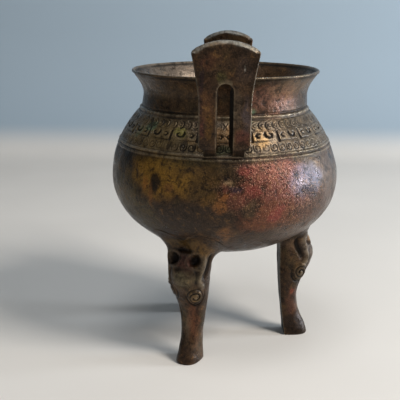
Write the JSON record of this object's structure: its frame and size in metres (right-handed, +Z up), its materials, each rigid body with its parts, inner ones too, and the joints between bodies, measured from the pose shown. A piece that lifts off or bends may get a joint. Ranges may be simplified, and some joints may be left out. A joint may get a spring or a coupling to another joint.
{
  "type": "bronze ding vessel",
  "caption": "Round-bellied bronze ding with a flared lip, tall slotted handles standing off the shoulder, a meander band and mask-topped legs.",
  "frame": {"origin": "on the floor plane under the bowl's axis, level with the undersides of the feet", "axes": "+Z up the bowl's axis; the handles stand at +X and -X; one leg is near -Y"},
  "size_m": [0.1177, 0.1138, 0.1583],
  "materials": {
    "patinated_bronze": "aged bronze patina, brown with ochre, red and dark patches, satin and worn bright on the edges"
  },
  "bodies": {
    "root": {"ding_vessel": "patinated_bronze"}
  },
  "joints": []
}
